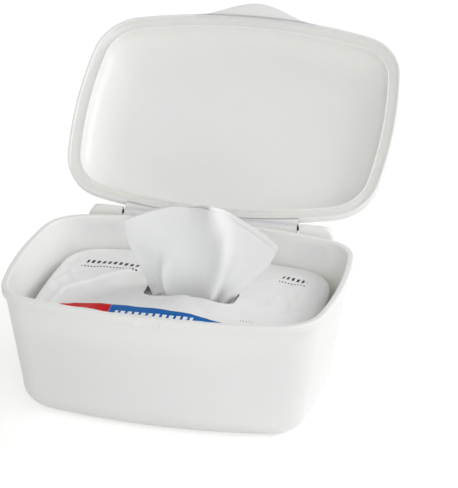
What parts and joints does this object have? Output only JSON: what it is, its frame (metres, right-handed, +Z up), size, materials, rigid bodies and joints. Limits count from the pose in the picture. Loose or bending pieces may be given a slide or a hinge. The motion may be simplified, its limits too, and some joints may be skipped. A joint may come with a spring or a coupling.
{
  "type": "wet wipes dispenser",
  "caption": "Tapered moulded tub with a hinged domed lid standing open on its stop, holding an opened film pouch of folded wipes with one wipe pulled up through its slot.",
  "frame": {"origin": "middle of the tub's flat base, on the surface it stands on", "axes": "+Z up, +X to the right along the tub's long side, +Y from the front to the hinge side"},
  "size_m": [0.2152, 0.2872, 0.1867],
  "materials": {
    "white_plastic": "satin moulded polypropylene",
    "pin_steel": "blackened",
    "pouch_film": "printed laminated film",
    "wipe_fleece": "damp non-woven"
  },
  "bodies": {
    "tub_body": {"tub": "white_plastic", "hinge_pin_left": "pin_steel", "hinge_pin_right": "pin_steel", "wipes_pouch": "pouch_film", "wipes_stack": "wipe_fleece", "pulled_wipe": "wipe_fleece"},
    "lid_body": {"lid": "white_plastic"}
  },
  "joints": [
    {"name": "lid_hinge", "type": "hinge", "parent": "tub_body", "child": "lid_body", "pos_m": [0, 0.079, 0.0841], "axis": [1, 0, 0], "range_deg": [0, 143], "deforming": ["pulled_wipe"]}
  ]
}
